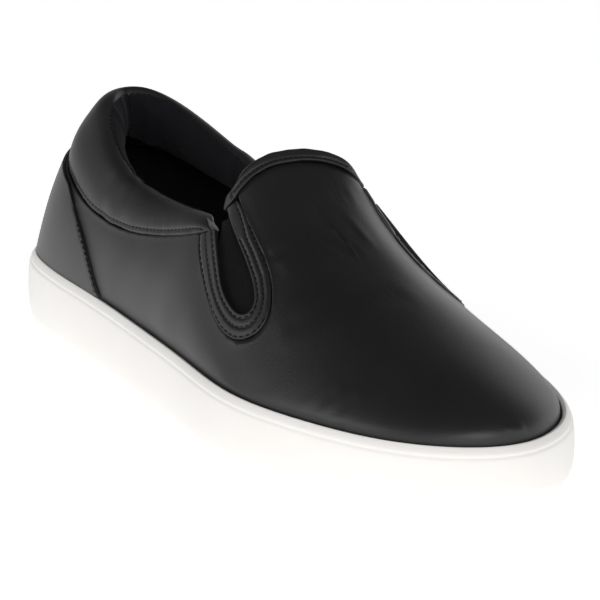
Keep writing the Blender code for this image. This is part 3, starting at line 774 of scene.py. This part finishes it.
waves = add_node(tree, "Math", {"operation": "MULTIPLY"}, _0=slant.outputs[0], _1=1500.0)
tread = add_node(tree, "Math", {"operation": "SINE"}, _0=waves.outputs[0])
facing = add_node(tree, "SeparateXYZ", _0=add_node(tree, "NewGeometry").outputs["Normal"])
under = add_node(
    tree, "MapRange", Value=facing.outputs["Z"], From_Min=-0.80, From_Max=-0.95, To_Max=4.0
)
skin_noise = add_node(tree, "TexNoise", Vector=place, Scale=1400.0, Detail=2.0)
relief = add_node(
    tree, "Math", {"operation": "MULTIPLY_ADD"}, _0=tread.outputs[0], _1=under.outputs[0],
    _2=skin_noise.outputs[0],
)
bump = add_node(tree, "Bump", Height=relief.outputs[0], Strength=0.25, Distance=0.0001)
tree.links.new(bump.outputs[0], shader.inputs["Normal"])
wear(sole, rubber)

# %% [markdown]
# Cloth, elastic and thread are all woven or twisted, so one weave group serves them: two sets
# of fine ridges at right angles, in the piece's own place, each with its own pitch.

# %% Weave
def make_weave_group():
    group, source, result = new_group(
        "fine weave",
        [("Place", VECTOR, None), ("Along", FLOAT, 9000.0), ("Across", FLOAT, 9000.0)],
        [("Height", FLOAT), ("Fuzz", FLOAT)],
    )
    parts = add_node(group, "SeparateXYZ", _0=source.outputs["Place"])

    def math_of(operation, **values):
        return add_node(group, "Math", {"operation": operation}, **values).outputs[0]

    level = math_of("ADD", _0=parts.outputs[0], _1=parts.outputs[1])
    warp = math_of("SINE", _0=math_of("MULTIPLY", _0=level, _1=source.outputs["Along"]))
    weft = math_of("SINE", _0=math_of("MULTIPLY", _0=parts.outputs[2], _1=source.outputs["Across"]))
    group.links.new(math_of("MULTIPLY", _0=warp, _1=weft), result.inputs["Height"])
    fuzz = add_node(group, "TexNoise", Vector=source.outputs["Place"], Scale=160.0, Detail=5.0)
    group.links.new(fuzz.outputs[0], result.inputs["Fuzz"])
    return group


WEAVE = make_weave_group()


def make_cloth(name, dark, light, along, across, sheen, pieces):
    material, tree, shader = new_material(
        name, Roughness=0.92, Specular_IOR_Level=0.15, Sheen_Weight=sheen, Sheen_Roughness=0.5
    )
    weave = tree.nodes.new("ShaderNodeGroup")
    weave.node_tree = WEAVE
    tree.links.new(add_node(tree, "TexCoord").outputs["Object"], weave.inputs["Place"])
    weave.inputs["Along"].default_value, weave.inputs["Across"].default_value = along, across
    tint = add_node(tree, "Mix", {"data_type": "RGBA"}, _0=weave.outputs["Fuzz"])
    tint.inputs[6].default_value, tint.inputs[7].default_value = dark, light
    tree.links.new(tint.outputs[2], shader.inputs["Base Color"])
    bump = add_node(tree, "Bump", Height=weave.outputs["Height"], Strength=0.5, Distance=0.00012)
    tree.links.new(bump.outputs[0], shader.inputs["Normal"])
    for piece in pieces:
        wear(piece, material)


make_cloth(
    "lining cloth", (0.0035, 0.0032, 0.0048, 1), (0.0075, 0.0068, 0.0095, 1), 6500.0, 8000.0, 0.05,
    (collar_lining, shoe_lining, footbed),
)
make_cloth(
    "black elastic", (0.0035, 0.0035, 0.0035, 1), (0.006, 0.006, 0.0058, 1), 5200.0, 9500.0, 0.04,
    elastics,
)
make_cloth(
    "black thread", (0.0022, 0.0022, 0.0022, 1), (0.004, 0.004, 0.004, 1), 12000.0, 12000.0, 0.02,
    threads,
)

# %% [markdown]
# ## Studio
# The shoe was photographed on white, lit softly from all sides with a darker ceiling: black
# leather mirrors the white around it on its flanks, and the dark above it on the vamp. The air
# is dimmer towards the heel, so that the rear quarter doesn't mirror too much of it.

# %% Floor, lights and camera
bpy.ops.mesh.primitive_plane_add(size=12, location=(0, 0, -0.0002))
floor = bpy.context.object
floor.name = "floor"
floor_white = new_material(
    "pale floor", Base_Color=(0.90, 0.90, 0.90, 1), Roughness=0.9, Specular_IOR_Level=0.1,
    Emission_Color=(1, 1, 1, 1), Emission_Strength=0.64,
)[0]
floor.data.materials.append(floor_white)


def add_light(name, place, aim, size, power):
    data = bpy.data.lights.new(name, "AREA")
    data.shape = "RECTANGLE"
    data.size, data.size_y, data.energy = size[0], size[1], power
    light = bpy.data.objects.new(name, data)
    bpy.context.scene.collection.objects.link(light)
    light.location = place
    light.rotation_euler = (Vector(aim) - Vector(place)).to_track_quat("-Z", "Y").to_euler()


add_light("left wall", (-0.70, -2.2, 1.50), (0, 0, 0.05), (1.8, 1.2), 17)
add_light("toe key", (1.8, -0.65, 1.15), (0.1, 0, 0.03), (1.1, 1.0), 15)
add_light("far wall", (-0.9, 2.6, 0.8), (0, 0, 0.05), (2.6, 0.9), 3)

world = bpy.data.worlds.new("studio air")
world.use_nodes = True
sky = world.node_tree
direction = add_node(sky, "SeparateXYZ", _0=add_node(sky, "TexCoord").outputs["Generated"])
glow = add_node(
    sky, "MapRange", {"interpolation_type": "SMOOTHSTEP"}, Value=direction.outputs["Z"],
    From_Min=0.12, From_Max=0.60, To_Min=1.12, To_Max=0.12,
)
sky.nodes["Background"].inputs["Color"].default_value = (1, 1, 1, 1)
heelward = add_node(
    sky, "MapRange", {"interpolation_type": "SMOOTHSTEP"}, Value=direction.outputs["X"],
    From_Min=-0.98, From_Max=-0.30, To_Min=0.36, To_Max=1.0,
)
air = add_node(sky, "Math", {"operation": "MULTIPLY"}, _0=glow.outputs[0], _1=heelward.outputs[0])
sky.links.new(air.outputs[0], sky.nodes["Background"].inputs["Strength"])
bpy.context.scene.world = world
bpy.context.scene.view_settings.view_transform = "Standard"

AZIMUTH, ELEVATION, AWAY = math.radians(54.95), math.radians(16.5), 1.15
LENS_MM, SENSOR_MM = 186.0, 36.0
PHOTO_CENTRE = Vector((-0.0024, 0.0737, 0.030))
AIM = Vector((0.0022, 0.0088, 0.0365))
back = Vector(
    (
        math.sin(AZIMUTH) * math.cos(ELEVATION),
        -math.cos(AZIMUTH) * math.cos(ELEVATION),
        math.sin(ELEVATION),
    )
)
camera_data = bpy.data.cameras.new("camera")
camera_data.lens = LENS_MM
camera_data.sensor_width = SENSOR_MM
camera = bpy.data.objects.new("camera", camera_data)
bpy.context.scene.collection.objects.link(camera)
camera.location = PHOTO_CENTRE + back * AWAY
camera.rotation_euler = (AIM - camera.location).to_track_quat("-Z", "Y").to_euler()
bpy.context.scene.camera = camera
